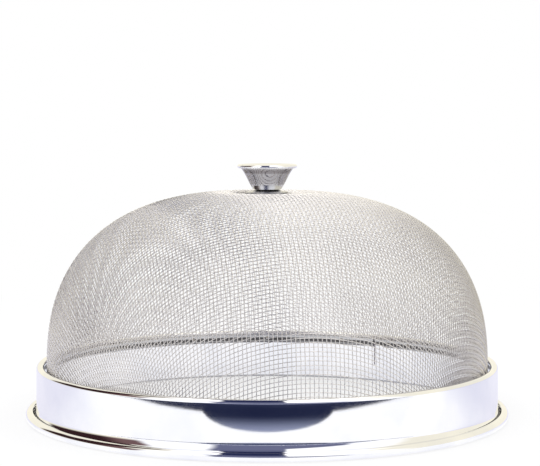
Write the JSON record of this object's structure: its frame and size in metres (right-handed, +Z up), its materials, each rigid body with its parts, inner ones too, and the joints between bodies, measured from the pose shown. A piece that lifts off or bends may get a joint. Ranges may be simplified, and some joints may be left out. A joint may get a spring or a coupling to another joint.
{
  "type": "mesh food dome",
  "caption": "Round food cover: a pressed dome of woven steel wire cloth in a polished steel rim band, lifted by a flared hollow knob on top.",
  "frame": {"origin": "centre of the circle that the rim's foot bead stands on", "axes": "+Z up along the dome's axis, -Y the front seen in the picture, +X to the right"},
  "size_m": [0.3072, 0.3072, 0.16],
  "materials": {
    "polished_steel": "mirror polished stainless steel",
    "wire_steel": "bright drawn stainless wire, woven",
    "plain_steel": "satin stainless steel"
  },
  "bodies": {
    "root": {"rim_band": "polished_steel", "mesh_dome": "wire_steel", "clamp_hoop": "plain_steel", "crown_washer": "plain_steel", "inner_washer": "plain_steel", "knob_body": "polished_steel", "knob_cap": "polished_steel", "knob_nut": "plain_steel", "knob_screw": "plain_steel"}
  },
  "joints": []
}
